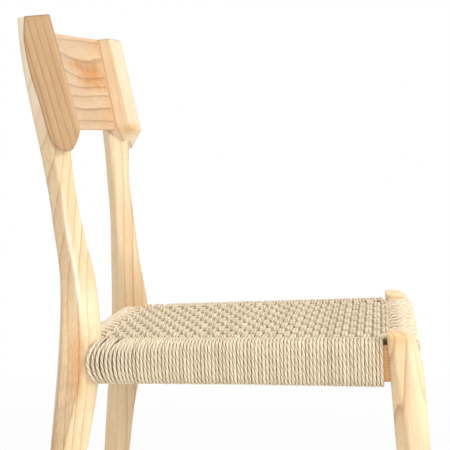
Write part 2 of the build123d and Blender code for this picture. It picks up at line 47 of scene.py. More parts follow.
# ---- the chair's own sizes, in mm
SEAT_HEIGHT = 450.0
SEAT_FALL = 13.5
BACK_HEIGHT = 850.0
FRONT_LEG = np.array([218.5, -233.8])  # x and y of the legs' axes at rail height
REAR_LEG = np.array([179.0, 186.5])
FRONT_FOOT = np.array([233.0, -272.3])
GLIDE = 3.0  # thickness of the glides that the legs stand on
FRONT_RAIL_Y, REAR_RAIL_Y = -235.8, 182.2
RAIL_THICKNESS, RAIL_HEIGHT, RAIL_ROUNDING = 24.0, 46.0, 9.0
SIDE_RAIL_DROP = 3.6  # the side rails lie this much lower than the other two
CORD = 5.0  # pitch of cords that lie side by side
FRONT_RAIL_Z = SEAT_HEIGHT - CORD - RAIL_HEIGHT / 2
REAR_RAIL_Z = FRONT_RAIL_Z - SEAT_FALL
SEAT_SLOPE = SEAT_FALL / (REAR_RAIL_Y - FRONT_RAIL_Y)
# half width, half height and rounding of a cord's path round a rail
WRAP_HALF, WRAP_TALL = (RAIL_THICKNESS + CORD) / 2, (RAIL_HEIGHT + CORD) / 2
WRAP_ROUNDING = RAIL_ROUNDING + CORD / 2


# ---- runs of values
def ramp(values, start, end):
    """0 up to start, 1 from end on and even in between; start may also be the larger one."""
    return np.clip((values - start) / (end - start), 0, 1)


def eased(share):
    """A share from 0 to 1 with level ends: 3 s^2 - 2 s^3."""
    return share * share * (3 - 2 * share)


def bell(distance, width):
    """1 in the middle and 0 far off: exp(-(distance / width)^2)."""
    return np.exp(-((distance / width) ** 2))


def hermite(z, stations, values):
    """A smooth run of values over height: cubic pieces whose slopes come from the neighbours' values."""
    stations, values = np.asarray(stations, float), np.asarray(values, float)
    slope = np.empty_like(values)
    slope[1:-1] = (values[2:] - values[:-2]) / (stations[2:] - stations[:-2])
    slope[0] = (values[1] - values[0]) / (stations[1] - stations[0])
    slope[-1] = (values[-1] - values[-2]) / (stations[-1] - stations[-2])
    index = np.clip(np.searchsorted(stations, z, side="right") - 1, 0, len(stations) - 2)
    rise = stations[index + 1] - stations[index]
    t = (z - stations[index]) / rise
    return (
        values[index] * (2 * t**3 - 3 * t**2 + 1)
        + values[index + 1] * (3 * t**2 - 2 * t**3)
        + slope[index] * rise * (t**3 - 2 * t**2 + t)
        + slope[index + 1] * rise * (t**3 - t**2)
    )


# ---- mesh helpers
def new_object(name, points, faces, uv=None, smooth=True, **marks):
    """An object from vertex positions in mm, faces, UVs per face corner and named numbers per vertex."""
    mesh = bpy.data.meshes.new(name)
    mesh.from_pydata((points * MM).tolist(), [], faces if isinstance(faces, list) else faces.tolist())
    if uv is not None:
        mesh.uv_layers.new(name="UVMap").data.foreach_set("uv", uv.astype(np.float32).ravel())
    for label, values in marks.items():
        mesh.attributes.new(label, "FLOAT", "POINT").data.foreach_set("value", values.astype(np.float32).ravel())
    mesh.polygons.foreach_set("use_smooth", np.full(len(faces), smooth))
    obj = bpy.data.objects.new(name, mesh)
    bpy.context.scene.collection.objects.link(obj)
    return obj


def skin_faces(rings, sides):
    """Quads between neighbouring rings of a closed section; ring r, corner c has index r * sides + c."""
    r, c = np.meshgrid(np.arange(rings - 1), np.arange(sides), indexing="ij")
    after = (c + 1) % sides
    return np.stack([r * sides + c, r * sides + after, (r + 1) * sides + after, (r + 1) * sides + c], -1).reshape(-1, 4)


def solid_of_sections(name, rings, side=1, **marks):
    """A closed skin over sections (ring, corner, xyz), listed from one end to the other.

    Both ends close on their middle point. The faces point outwards when the corners run
    anticlockwise as seen from the last ring. Side -1 mirrors the sections of +X to -X.
    """
    if side < 0:
        rings, marks = rings[:, ::-1] * np.array([-1, 1, 1]), {label: m[:, ::-1] for label, m in marks.items()}
    count, sides = rings.shape[:2]
    points = np.concatenate([rings.reshape(-1, 3), rings[0].mean(0)[None], rings[-1].mean(0)[None]])
    corner = np.arange(sides)
    after = (corner + 1) % sides
    top = (count - 1) * sides
    low = np.stack([after, corner, np.full(sides, count * sides)], -1)
    high = np.stack([top + corner, top + after, np.full(sides, count * sides + 1)], -1)
    marks = {label: np.concatenate([m.ravel(), [m[0].mean(), m[-1].mean()]]) for label, m in marks.items()}
    return new_object(name, points, skin_faces(count, sides).tolist() + low.tolist() + high.tolist(), **marks)


def corner_rings(*corners):
    """Sections (ring, corner, 2) from the two runs of values that each corner follows."""
    return np.stack([np.stack(np.broadcast_arrays(*corner), -1) for corner in corners], 1)


def rounded_polygons(corners, radii, steps=5):
    """Sections with rounded corners.

    corners is (ring, corner, 2), anticlockwise, and radii, one for each corner, is how far the
    rounding reaches along both sides of it. Each rounding is the curve
    (1-t)^2 start + 2t(1-t) corner + t^2 end, with t even from 0 to 1.
    """
    before, after = np.roll(corners, 1, 1), np.roll(corners, -1, 1)
    reach_in = np.linalg.norm(before - corners, axis=-1)
    reach_out = np.linalg.norm(after - corners, axis=-1)
    radii = np.minimum(np.asarray(radii), 0.48 * np.minimum(reach_in, reach_out))[..., None]
    start = corners + (before - corners) / reach_in[..., None] * radii
    end = corners + (after - corners) / reach_out[..., None] * radii
    t = np.linspace(0, 1, steps)[None, None, :, None]
    curve = (1 - t) ** 2 * start[:, :, None] + 2 * t * (1 - t) * corners[:, :, None] + t**2 * end[:, :, None]
    return curve.reshape(corners.shape[0], -1, 2)


def divided(sections, spacing):
    """The same sections with each side split evenly, so that no part of it is longer than the spacing."""
    after = np.roll(sections, -1, 1)
    parts = np.ceil(np.linalg.norm(after - sections, axis=-1).max(0) / spacing).astype(int).clip(1)
    pieces = [
        sections[:, k : k + 1] + (after - sections)[:, k : k + 1] * (np.arange(parts[k]) / parts[k])[None, :, None]
        for k in range(len(parts))
    ]
    return np.concatenate(pieces, 1)


def inset(sections, amounts):
    """Sections drawn in towards their middles by the given amounts, in mm, ring by ring."""
    middle = sections.mean(1, keepdims=True)
    offset = sections - middle
    length = np.linalg.norm(offset, axis=-1, keepdims=True)
    return middle + offset * np.clip(1 - amounts[:, None, None] / length, 0.05, 1)


def turned_over(z, low, high, radius):
    """How far the ends of a piece draw in at height z, on quarter circles: r (1 - sqrt(1 - s^2))."""
    s = np.maximum(ramp(z, low + radius, low), ramp(z, high - radius, high))
    return radius * (1 - np.sqrt(1 - s**2))


def finish_piece(obj, material, slot, *nodes):
    """Material, body and the solids that a piece stands for; the finish slot is not used."""
    obj.data.materials.append(material)
    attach(obj, "root")
    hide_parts(*nodes)


# ---- camera
CAMERA = Vector((-1888.9, -198.2, 697.1)) * MM
CAMERA_TURN, CAMERA_TILT = 0.1131, 0.0648  # from +X towards +Y, and downwards, in radians
camera_data = bpy.data.cameras.new("view")
camera_data.sensor_width = 36.0
camera_data.lens = 108.0
camera_data.clip_end = 100.0
camera = bpy.data.objects.new("view", camera_data)
bpy.context.scene.collection.objects.link(camera)
level = np.cos(CAMERA_TILT)
forward = Vector((np.cos(CAMERA_TURN) * level, np.sin(CAMERA_TURN) * level, -np.sin(CAMERA_TILT)))
right = forward.cross(Vector((0, 0, 1))).normalized()
up = right.cross(forward)
camera.matrix_world = Matrix.Translation(CAMERA) @ Matrix((right, up, -forward)).transposed().to_4x4()
bpy.context.scene.camera = camera


# ---- node helpers
def add_node(tree, kind, inputs=(), **settings):
    """A shader node with its settings; inputs maps a socket's name or number to a value or a socket."""
    node = tree.nodes.new("ShaderNode" + kind)
    for key, value in settings.items():
        setattr(node, key, value)
    for key, value in dict(inputs).items():
        if isinstance(value, bpy.types.NodeSocket):
            tree.links.new(value, node.inputs[key])
        else:
            node.inputs[key].default_value = value
    return node


def combine(tree, operation, a, b=0.0, clamp=False):
    """One Math node's result."""
    return add_node(tree, "Math", {0: a, 1: b}, operation=operation, use_clamp=clamp).outputs[0]


def times(tree, a, b):
    """The product of two values."""
    return combine(tree, "MULTIPLY", a, b)


def remap(tree, value, low, high, new_low, new_high):
    """The value carried from one range to another and held inside it."""
    return add_node(tree, "MapRange", {0: value, 1: low, 2: high, 3: new_low, 4: new_high}).outputs[0]


def blend_colours(tree, share, first, second, kind="MIX"):
    """Two colours mixed by a share."""
    return add_node(tree, "Mix", {0: share, 6: first, 7: second}, data_type="RGBA", blend_type=kind).outputs[2]


def noise(tree, vector, scale, detail=2.0):
    """A noise value at a point."""
    return add_node(tree, "TexNoise", {"Vector": vector, "Scale": scale, "Detail": detail}).outputs["Fac"]


def vector_math(tree, operation, a, b=(0, 0, 0)):
    """One Vector Math node's outputs."""
    return add_node(tree, "VectorMath", {0: a, 1: b}, operation=operation).outputs


def stretched(tree, vector, factors):
    """A vector whose parts are multiplied one by one."""
    return vector_math(tree, "MULTIPLY", vector, factors)[0]


def mark(tree, label):
    """A number that the mesh keeps with each vertex."""
    return add_node(tree, "Attribute", attribute_name=label).outputs["Fac"]


def new_group(name, inputs, outputs):
    """An empty shader group; inputs are (name, kind, default) and outputs are (name, kind)."""
    group = bpy.data.node_groups.new(name, "ShaderNodeTree")
    for label, kind, default in inputs:
        socket = group.interface.new_socket(name=label, in_out="INPUT", socket_type=kind)
        if default is not None:
            socket.default_value = default
    for label, kind in outputs:
        group.interface.new_socket(name=label, in_out="OUTPUT", socket_type=kind)
    return group, group.nodes.new("NodeGroupInput").outputs, group.nodes.new("NodeGroupOutput").inputs


def new_material(name):
    """An empty node material and its tree."""
    material = bpy.data.materials.new(name)
    material.use_nodes = True
    material.node_tree.nodes.clear()
    return material, material.node_tree


def finish_shader(tree, colour, roughness, height, relief, settings):
    """The Principled shader with its bump, to the output; relief is the bump's strength and distance."""
    strength, distance = relief
    bump = add_node(tree, "Bump", {"Strength": strength, "Distance": distance, "Height": height})
    inputs = {"Base Color": colour, "Roughness": roughness, "Normal": bump.outputs[0], **settings}
    shader = add_node(tree, "BsdfPrincipled", inputs)
    add_node(tree, "OutputMaterial", {"Surface": shader.outputs[0]})


FLOAT, COLOUR, VECTOR = "NodeSocketFloat", "NodeSocketColor", "NodeSocketVector"


def build_grain_group():
    """Growth rings and pores of sawn pale wood.

    The point is measured from the tree's heart, which runs along the mapped Z. Rings are the saw
    fract((distance + slow noise + push) / ring width): pale early wood that darkens to a thin brown
    line. Streaks and pores are noises drawn out along Z.
    """
    tree, put, out = new_group(
        "plank_grain",
        [("Vector", VECTOR, None), ("Push", FLOAT, 0.0), ("Ring Width", FLOAT, 0.009), ("Wander", FLOAT, 0.006)]
        + [("Line Strength", FLOAT, 0.5), ("Pale", COLOUR, (0.86, 0.66, 0.42, 1))]
        + [("Middle", COLOUR, (0.74, 0.50, 0.27, 1)), ("Dark", COLOUR, (0.42, 0.23, 0.10, 1))],
        [("Color", COLOUR), ("Roughness", FLOAT), ("Height", FLOAT)],
    )
    distance = vector_math(tree, "LENGTH", stretched(tree, put["Vector"], (1, 1, 0)))["Value"]
    slow = noise(tree, stretched(tree, put["Vector"], (1, 1, 0.16)), 14.0)
    wander = times(tree, combine(tree, "SUBTRACT", slow, 0.5), put["Wander"])
    moved = combine(tree, "ADD", combine(tree, "ADD", distance, wander), put["Push"])
    rings = combine(tree, "DIVIDE", moved, put["Ring Width"])
    uneven = add_node(
        tree, "TexWhiteNoise", {"W": combine(tree, "FLOOR", rings)}, noise_dimensions="1D"
    ).outputs["Value"]
    saw = add_node(tree, "ValToRGB", {0: combine(tree, "FRACT", rings)})
    stops = saw.color_ramp.elements
    stops[0].color = stops[1].color = (0, 0, 0, 1)
    for position, value in ((0.45, 0.10), (0.74, 0.30), (0.90, 1.0), (0.955, 0.85)):
        stops.new(position).color = (value, value, value, 1)
    late = add_node(tree, "RGBToBW", {0: saw.outputs["Color"]}).outputs[0]
    weight = times(tree, late, remap(tree, uneven, 0.0, 1.0, 0.3, 1.0))
    weight = combine(tree, "MULTIPLY", weight, put["Line Strength"], clamp=True)
    pores = noise(tree, stretched(tree, put["Vector"], (1, 1, 0.03)), 900.0, 3.0)
    streaks = noise(tree, stretched(tree, put["Vector"], (1, 1, 0.04)), 260.0, 2.0)
    broad = noise(tree, stretched(tree, put["Vector"], (1, 1, 0.10)), 30.0)
    base = blend_colours(tree, remap(tree, broad, 0.38, 0.72, 0.0, 0.75), put["Pale"], put["Middle"])
    base = blend_colours(tree, remap(tree, streaks, 0.45, 0.80, 0.0, 0.45), base, put["Middle"])
    lined = blend_colours(tree, weight, base, put["Dark"])
    fleck = remap(tree, pores, 0.30, 0.70, 0.92, 1.05)
    final = add_node(tree, "VectorMath", {0: lined, "Scale": fleck}, operation="SCALE").outputs[0]
    tree.links.new(final, out["Color"])
    tree.links.new(remap(tree, pores, 0.3, 0.7, 0.44, 0.36), out["Roughness"])
    height = combine(tree, "SUBTRACT", times(tree, pores, 0.6), times(tree, weight, 0.4))
    tree.links.new(height, out["Height"])
    return tree


def build_patch_group():
    """A soft-edged patch round a place: 1 in its middle, 0 beyond its size, with an edge that wanders.

    Mask = 1 - |(point - place) / size + noise|, held between 0 and 1 and eased.
    """
    tree, put, out = new_group(
        "soft_patch",
        [("Vector", VECTOR, None), ("Place", VECTOR, (0, 0, 0)), ("Size", VECTOR, (1, 1, 1)), ("Ragged", FLOAT, 0.5)],
        [("Mask", FLOAT)],
    )
    apart = vector_math(tree, "SUBTRACT", put["Vector"], put["Place"])[0]
    length = vector_math(tree, "LENGTH", vector_math(tree, "DIVIDE", apart, put["Size"])[0])["Value"]
    uneven = combine(tree, "SUBTRACT", noise(tree, put["Vector"], 60.0, 3.0), 0.5)
    length = combine(tree, "ADD", length, times(tree, uneven, put["Ragged"]))
    fade = add_node(tree, "MapRange", {0: length, 1: 0.15, 2: 1.0, 3: 1.0, 4: 0.0}, interpolation_type="SMOOTHSTEP")
    tree.links.new(fade.outputs[0], out["Mask"])
    return tree


grain_group = build_grain_group()
patch_group = build_patch_group()


def wood_material(name, heart, tilt, *, colours, ring, lines, wander=0.006, patches=(), knot=None, edges=0.0):
    """Lacquered wood.

    heart is a point in metres on the tree's middle line and tilt turns that line. colours are its
    pale, middle and dark wood, ring the width of a growth ring in metres, wander how far the rings
    stray and lines how dark they are. patches are (place, size, tint, strength) where the colour is
    multiplied warmer or darker; those that are painted shade say so where they are given. knot is
    (place, size, push) where the rings bulge, and edges is how much the piece's own marks count:
    tone darkens the wood, mostly as painted shade along edges and creases, and worn makes
    it pale as a painted highlight and painted light.
    """
    material, tree = new_material(name)
    spot = add_node(tree, "TexCoord").outputs["Object"]
    mapping = add_node(tree, "Mapping", {0: spot, 1: heart, 2: tilt}, vector_type="TEXTURE")

    def patch(place, size, ragged):
        inputs = {"Vector": spot, "Place": place, "Size": size, "Ragged": ragged}
        return add_node(tree, "Group", inputs, node_tree=patch_group).outputs["Mask"]

    inputs = {"Vector": mapping.outputs[0], "Ring Width": ring, "Wander": wander, "Line Strength": lines}
    inputs.update({label: (*colour, 1) for label, colour in zip(("Pale", "Middle", "Dark"), colours)})
    if knot is not None:
        place, size, push = knot
        inputs["Push"] = times(tree, patch(place, size, 0.0), push)
    grain = add_node(tree, "Group", inputs, node_tree=grain_group).outputs
    colour = grain["Color"]
    for place, size, tint, strength in patches:
        share = times(tree, patch(place, size, 0.9), strength)
        colour = blend_colours(tree, share, colour, (*tint, 1), "MULTIPLY")
    if edges:
        # painted shade: the tone mark blends the wood towards dark brown
        tone = mark(tree, "tone")
        speck = remap(tree, noise(tree, stretched(tree, spot, (1, 1, 0.2)), 420.0, 2.0), 0.35, 0.65, 0.45, 1.0)
        faint = times(tree, times(tree, tone, speck), 0.55)
        sharp = remap(tree, tone, 0.82, 1.0, 0.0, 0.85)
        share = combine(tree, "MULTIPLY", combine(tree, "MAXIMUM", faint, sharp), edges, clamp=True)
        colour = blend_colours(tree, share, colour, (0.27, 0.13, 0.05, 1))
        # painted highlight: this mark blends the wood towards pale cream
        worn = mark(tree, "worn")
        colour = blend_colours(tree, times(tree, worn, 0.8), colour, (0.98, 0.90, 0.76, 1))
    lacquer = {"Specular IOR Level": 0.45, "Coat Weight": 0.15, "Coat Roughness": 0.25}
    finish_shader(tree, colour, grain["Roughness"], grain["Height"], (0.12, 0.0004), lacquer)
    return material


def cord_material(name, pale, deep, groove):
    """Matt twisted paper cord.

    UV x is the length along the cord in metres and UV y counts plies round it, so a whole number of
    UV y is the groove between two plies; the groove colour there is painted shade. Fibres are noise
    drawn out along each ply. The mark tone shifts a cord's own shade, and sunk darkens it
    with painted shade where it lies deep or against the next cord.
    """
    material, tree = new_material(name)
    apart = add_node(tree, "SeparateXYZ", {0: add_node(tree, "UVMap", uv_map="UVMap").outputs[0]}).outputs
    tone = mark(tree, "tone")
    from_middle = combine(tree, "ABSOLUTE", combine(tree, "SUBTRACT", combine(tree, "FRACT", apart[1]), 0.5))
    crown = combine(tree, "SUBTRACT", 1.0, combine(tree, "POWER", times(tree, from_middle, 2.0), 2.5))
    grooves = remap(tree, from_middle, 0.30, 0.5, 0.0, 1.0)

    def along(length_scale, ply_scale, tone_scale, detail):
        scaled = {0: times(tree, apart[0], length_scale), 1: times(tree, apart[1], ply_scale)}
        scaled[2] = times(tree, tone, tone_scale)
        return noise(tree, add_node(tree, "CombineXYZ", scaled).outputs[0], 1.0, detail)

    fibre = along(110.0, 6.0, 40.0, 3.0)
    slow = along(14.0, 0.0, 60.0, 1.0)
    patchy = along(45.0, 0.9, 90.0, 2.0)
    mixing = combine(tree, "ADD", times(tree, fibre, 0.7), times(tree, slow, 0.5))
    mixing = combine(tree, "ADD", mixing, times(tree, tone, 0.22))
    body = blend_colours(tree, remap(tree, mixing, 0.45, 1.0, 0.0, 1.0), (*pale, 1), (*deep, 1))
    # painted shade in the grooves between plies, deep in the weave and where cords press together
    dark = times(tree, grooves, remap(tree, patchy, 0.35, 0.62, 0.20, 0.75))
    sunk = mark(tree, "sunk")
    dark = combine(tree, "MAXIMUM", dark, times(tree, sunk, 0.9))
    colour = blend_colours(tree, dark, body, (*groove, 1))
    height = combine(tree, "ADD", crown, times(tree, fibre, 0.25))
    roughness = remap(tree, fibre, 0.0, 1.0, 0.78, 0.92)
    paper = {"Specular IOR Level": 0.25, "Sheen Weight": 0.15}
    finish_shader(tree, colour, roughness, height, (0.5, 0.0007), paper)
    return material


def plain_finish(name, colour, roughness, metallic, speckle, darker=0.82):
    """A plain finish with a slight mottle; darker is the mottle's darkest share of the colour."""
    material, tree = new_material(name)
    spot = add_node(tree, "TexCoord").outputs["Object"]
    mottle = noise(tree, spot, speckle, 3.0)
    shade = blend_colours(tree, mottle, (*colour, 1), (*(darker * value for value in colour), 1))
    rough = remap(tree, mottle, 0.0, 1.0, roughness, roughness + 0.12)
    finish_shader(tree, shade, rough, mottle, (0.1, 0.0003), {"Metallic": metallic})
    return material


# ---- rear legs and their heads
HEAD_CORNER = np.array([223.0, 173.2, 708.0])  # the head's outer front corner, at the board's foot
HEAD_HEIGHT, HEAD_THICKNESS = 142.0, 44.0
HEAD_LEAN, HEAD_SPLAY = 37.5, 4.5  # the head leans this far back and outwards over its height
HEAD_TURN = np.radians(13.0)
TOP_FALL = 3.4 / 39.0  # slope of the head's top, down to the rear
HEAD_MIDDLE = 20.0  # about how far a head's faces lie from its middle

# height, middle x and y, width, thickness, turn in degrees, place of the ridge between the middle (0)
# and the rear edge (1), and the flat at each edge
SHAFT = np.array(
    [
        [GLIDE, 213.0, 229.2, 36.0, 32.5, 28.0, 0.50, 10.0],
        [270.25, 183.0, 203.2, 47.0, 32.5, 24.0, 0.50, 10.0],
        [415.25, 179.0, 186.5, 53.6, 37.0, 18.0, -0.05, 26.0],
        [510.0, 166.0, 191.0, 46.0, 32.5, 17.0, 0.10, 10.0],
        [575.0, 181.5, 198.9, 38.0, 32.5, 17.5, 0.15, 10.0],
        [630.0, 190.3, 206.0, 35.0, 32.5, 14.5, 0.02, 10.0],
        [680.0, 202.5, 210.6, 38.5, 34.0, 13.5, 0.20, 12.0],
        [728.0, 213.0, 214.8, 45.2, 36.4, 13.0, 0.42, 15.0],
        [780.0, 214.8, 223.2, 47.8, 41.0, 13.0, 0.69, 27.0],
        [818.0, 217.2, 229.6, 43.6, 41.0, 13.0, 0.75, 29.0],
        [850.0, 219.2, 235.1, 36.2, 41.0, 13.0, 0.58, 29.0],
    ]
)


def rear_leg_surface(name, side):
    """A rear leg with the spine behind its head: a six-sided section carried up the leg.

    The section is long along a line that turns from 28 to 13 degrees, with a ridge on each broad
    face; its middle, length, thickness and ridge run smoothly through the stations. Near the top
    the level falls to the rear by 3.4 mm in 39. The mark tone is painted shade on the outer face
    behind the ridge and along the crease below the seat; worn is a painted highlight on
    the ridge above the seat and painted light on the outer face near the top.
    """
    z = np.concatenate([np.linspace(GLIDE, 845, 180), np.linspace(846, BACK_HEIGHT, 7)])
    x, y, width, thickness, turn, ridge, tip = (hermite(z, SHAFT[:, 0], SHAFT[:, field]) for field in range(1, 8))
    half, tip, broad, turn = width / 2, tip / 2, thickness / 2, np.radians(turn)
    along = np.stack([half, ridge * half, -half, -half, ridge * half, half], -1)
    across = np.stack([tip, broad, tip, -tip, -broad, -tip], -1)
    corners = np.stack([along, across], -1)
    sections = divided(rounded_polygons(corners, [4.0, 3.5, 3.0, 3.0, 5.0, 4.0], 5), 3.5)
    sections = inset(sections, turned_over(z, GLIDE, BACK_HEIGHT, 1.6))
    along, across = sections[..., 0], sections[..., 1]
    level, turn = z[:, None], turn[:, None]
    behind, outer = along - (ridge * half)[:, None], ramp(across, 0.0, 4.0)
    below_seat = ramp(level, SEAT_HEIGHT, SEAT_HEIGHT - 60)
    # painted shade on the outer face behind the ridge, stronger below the seat
    rear_facet_shade = outer * ramp(behind, 0.0, 3.0) * ramp(level, 720, 660) * (0.42 + 0.36 * below_seat)
    # tone also adds painted shade along the ridge line below the seat
    tone = np.maximum(rear_facet_shade, outer * 0.98 * bell(behind, 3.2) * np.sqrt(below_seat))
    # painted highlight along the ridge from the seat up to about 640 mm, and painted light on the outer face near the
    # top
    worn_ridge = outer * bell(behind, 2.6) * ramp(level, 455, 495) * ramp(level, 640, 580)
    worn = np.maximum(worn_ridge, 0.55 * outer * ramp(level, 690, 750))
    px = x[:, None] + along * np.sin(turn) + across * np.cos(turn)
    py = y[:, None] + along * np.cos(turn) - across * np.sin(turn)
    front_y = HEAD_CORNER[1] + HEAD_LEAN * np.cos(HEAD_TURN)
    near_top = ramp(level, BACK_HEIGHT - 50, BACK_HEIGHT)
    fall = near_top * (np.maximum(py - front_y, 0) * TOP_FALL + 0.6)
    return solid_of_sections(name, np.stack([px, py, level - fall], -1), side, tone=tone, worn=worn)


# along the head's height v, from the board's foot: the front edge round the chin, and the rear edge
CHIN_V = [-28.6, -28.0, -25.0, -17.6, -9.2, -2.0]
CHIN_FRONT = [13.5, 10.0, 6.4, 2.8, 0.5, -0.5]
CHEEK_V = [-28.6, -28.0, -25.4, -17.9, -9.2, 0.8, 29.5, 62.9, 92.5, 114.6, 142.0]
CHEEK_REAR = [17.0, 20.5, 26.5, 34.6, 38.9, 42.1, 50.1, 60.5, 66.9, 69.4, 68.7]


def head_surface(name, side, chin):
    """The flat cheek of a rear leg's head, which stands a little proud of the spine behind it.

    At height v the section is a bar from front(v) to rear(v). The front edge leans back evenly, the
    rear edge follows a smooth run of points, and both draw together round the chin. Below v = 0 the
    front is cut back by chin (1 - exp(v / 11)), and its inner corner by 8 (1 - exp(v / 9)) more;
    towards the chin the bar gets 9.5 mm thinner. The mark tone is 0.8 exp(-distance from the rear
    edge / 9) on the cheek and 1 on the rear edge's own face, painted shade where the cheek stands
    proud of the spine, and runs along the top edge.
    """
    round_chin = CHIN_V[0] + 14 * (1 - np.cos(np.linspace(0, np.pi / 2, 22)))
    v = np.concatenate([round_chin, np.linspace(-13, 139, 80), np.linspace(140, HEAD_HEIGHT, 5)])
    below = np.minimum(v, 0)
    front = np.where(v < CHIN_V[-1], np.interp(v, CHIN_V, CHIN_FRONT), v * HEAD_LEAN / HEAD_HEIGHT)
    front = front + chin * (1 - np.exp(below / 11.0))
    rear = np.maximum(hermite(v, CHEEK_V, CHEEK_REAR), front + 2.5)
    thick = HEAD_THICKNESS - 9.5 * eased(ramp(v, 14, -28))
    front_inner = front + 8.0 * (1 - np.exp(below / 9.0))
    corners = corner_rings((rear, -thick), (rear, 0.0), (front, 0.0), (front_inner, -thick))
    sections = divided(rounded_polygons(corners, [0.5, 0.5, 4.6, 3.4], 7), 3.0)
    # only the top edge is rounded over: the low end is set far below the chin
    middle = sections.mean(1, keepdims=True)
    drawn = turned_over(v, -60.0, HEAD_HEIGHT, 1.6)[:, None, None]
    sections = middle + (sections - middle) * (1 - drawn / HEAD_MIDDLE)
    u, w = sections[..., 0], sections[..., 1]
    behind = rear[:, None] - u
    # painted shade along the rear edge, where the cheek stands proud of the spine behind it
    tone = np.where(behind < 0.6, 1.0, 0.80 * np.exp(-np.maximum(behind, 0) / 9.0))
    tone = np.maximum(tone, 0.97 * ramp(v, 139.4, 140.6)[:, None])
    back = np.array([np.sin(HEAD_TURN), np.cos(HEAD_TURN), 0.0])
    out = np.array([np.cos(HEAD_TURN), -np.sin(HEAD_TURN), -HEAD_SPLAY / HEAD_HEIGHT])
    out /= np.linalg.norm(out)
    rise = np.cross(out, back)
    fall = ramp(v, HEAD_HEIGHT - 50, HEAD_HEIGHT)[:, None] * (u - HEAD_LEAN) * TOP_FALL
    rings = HEAD_CORNER + u[..., None] * back + w[..., None] * out + (v[:, None] - fall)[..., None] * rise
    return solid_of_sections(name, rings, side, tone=tone, worn=np.zeros_like(tone))


# ---- front legs
FRONT_TOP, KNEE = 459.5, 300.0
SHOULDER_DEPTH, SHOULDER_DROP = 26.0, 40.0  # the rounded shoulder in front of the top
CROWN_WIDTH, CROWN_DROP = 15.0, 7.0  # the rounding of the top's sides


def front_leg_surface(name, side):
    """A front leg: a rectangle whose corners are cut by facets that widen and narrow up the leg.

    Above the shoulder the front of the section follows y = crest - 26 sqrt(1 - ((z - shoulder) / 40)^2),
    and over the last 7 mm both sides draw in by 15 (1 - sqrt(1 - s^2)) to a rounded crown.
    """
    z = np.concatenate(
        [np.linspace(GLIDE, 418, 70), FRONT_TOP - SHOULDER_DROP * (1 - np.sin(np.linspace(0.05, np.pi / 2, 48)))]
    )
    share = (FRONT_RAIL_Z - z) / FRONT_RAIL_Z
    x = FRONT_LEG[0] + (FRONT_FOOT[0] - FRONT_LEG[0]) * share
    y = FRONT_LEG[1] + (FRONT_FOOT[1] - FRONT_LEG[1]) * share
    stations = [GLIDE, KNEE, FRONT_TOP]
    width, depth = np.interp(z, stations, [31, 42, 42]), np.interp(z, stations, [32, 42, 42])
    # how far each facet reaches from the rectangle's corner
    front_outer, rear_outer = np.interp(z, stations, [4, 4, 18]), np.interp(z, stations, [10, 18, 4])
    rear_inner, front_inner = 4.0, np.interp(z, stations, [10, 10, 4])
    crown = ramp(z, FRONT_TOP - CROWN_DROP, FRONT_TOP)
    drawn = CROWN_WIDTH * (1 - np.sqrt(1 - crown**2))
    inner, outer = x - width / 2 + drawn, x + width / 2 - drawn
    front, rear = y - depth / 2, y + depth / 2
    crest = np.interp(FRONT_TOP, z, y) - 22 + SHOULDER_DEPTH
    rise = ramp(z, FRONT_TOP - SHOULDER_DROP, FRONT_TOP)
    taken = np.where(rise > 0, np.maximum(crest - SHOULDER_DEPTH * np.sqrt(1 - rise**2) - front, 0), 0)
    front_outer, front_inner = np.maximum(front_outer - 0.8 * taken, 2.5), np.maximum(front_inner - taken, 2.5)
    front = front + taken
    corners = corner_rings(
        (outer - front_outer, front),
        (outer, front + front_outer),
        (outer, rear - rear_outer),
        (outer - rear_outer, rear),
        (inner + rear_inner, rear),
        (inner, rear - rear_inner),
        (inner, front + front_inner),
        (inner + front_inner, front),
    )
    sections = rounded_polygons(corners, np.full(8, 3.0), 5)
    sections = inset(sections, turned_over(z, GLIDE, FRONT_TOP, 1.2))
    rings = np.concatenate([sections, np.repeat(z[:, None, None], sections.shape[1], 1)], -1)
    return solid_of_sections(name, rings, side)


# ---- back board
BOARD_FOOT_Y, BOARD_TOP_Y = 212.1, 246.1  # the front face where it meets the heads
BOARD_SAGITTA, BOARD_THICKNESS = 28.9, 13.7
HALF_CHORD = HEAD_CORNER[0] - HEAD_THICKNESS * np.cos(HEAD_TURN)
BOARD_HOUSED = 3.5  # each end goes this far into its head


def board_surface(name):
    """The back board: a bar section, rounded along its edges, carried along an arc.

    At x the front face lies at y = foot + sagitta - R + sqrt(R^2 - x^2), and moves back evenly
    with height; the thickness is measured along y.
    """
    radius = (HALF_CHORD**2 + BOARD_SAGITTA**2) / (2 * BOARD_SAGITTA)
    low, high = HEAD_CORNER[2], BACK_HEIGHT
    corners = np.array([[0, low], [BOARD_THICKNESS, low], [BOARD_THICKNESS, high], [0, high]], float)
    section = divided(rounded_polygons(corners[None], np.full(4, 3.2), 6), 7.0)[0]
    depth, z = section[:, 0], section[:, 1]
    share = (z - low) / (high - low)
    lean = BOARD_FOOT_Y + (BOARD_TOP_Y - BOARD_FOOT_Y) * share
    inner_face = HEAD_CORNER[0] + HEAD_SPLAY * share + (lean - HEAD_CORNER[1]) * np.tan(HEAD_TURN)
    reach = inner_face - HEAD_THICKNESS / np.cos(HEAD_TURN) + BOARD_HOUSED
    across = np.linspace(-1, 1, 90)[:, None] * reach
    y = lean + BOARD_SAGITTA - radius + np.sqrt(radius**2 - across**2) + depth
    return solid_of_sections(name, np.stack([across, y, np.broadcast_to(z, across.shape)], -1))


